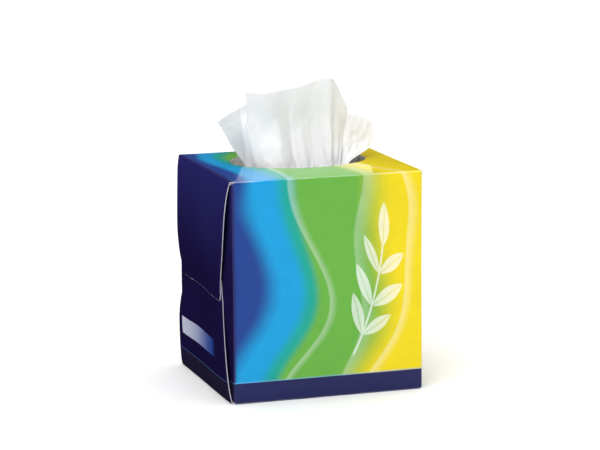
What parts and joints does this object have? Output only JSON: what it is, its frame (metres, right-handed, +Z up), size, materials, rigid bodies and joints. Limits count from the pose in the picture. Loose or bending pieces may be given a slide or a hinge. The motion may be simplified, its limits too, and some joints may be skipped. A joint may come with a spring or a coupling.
{
  "type": "tissue box",
  "caption": "Cube-shaped printed card carton with glued end flaps and an oval top opening, holding a clip of folded tissues, with a gathered tissue standing ready to pull.",
  "frame": {"origin": "middle of the carton's flat base", "axes": "+Z up, front panel facing -Y, glued ends facing -X and +X"},
  "size_m": [0.1176, 0.106, 0.173],
  "materials": {
    "printed_card": "varnished print outside, bare grey card inside",
    "tissue": "soft, matt"
  },
  "bodies": {
    "root": {"carton": "printed_card", "tissue_stack": "tissue", "pop_up_tissue": "tissue"}
  },
  "joints": []
}
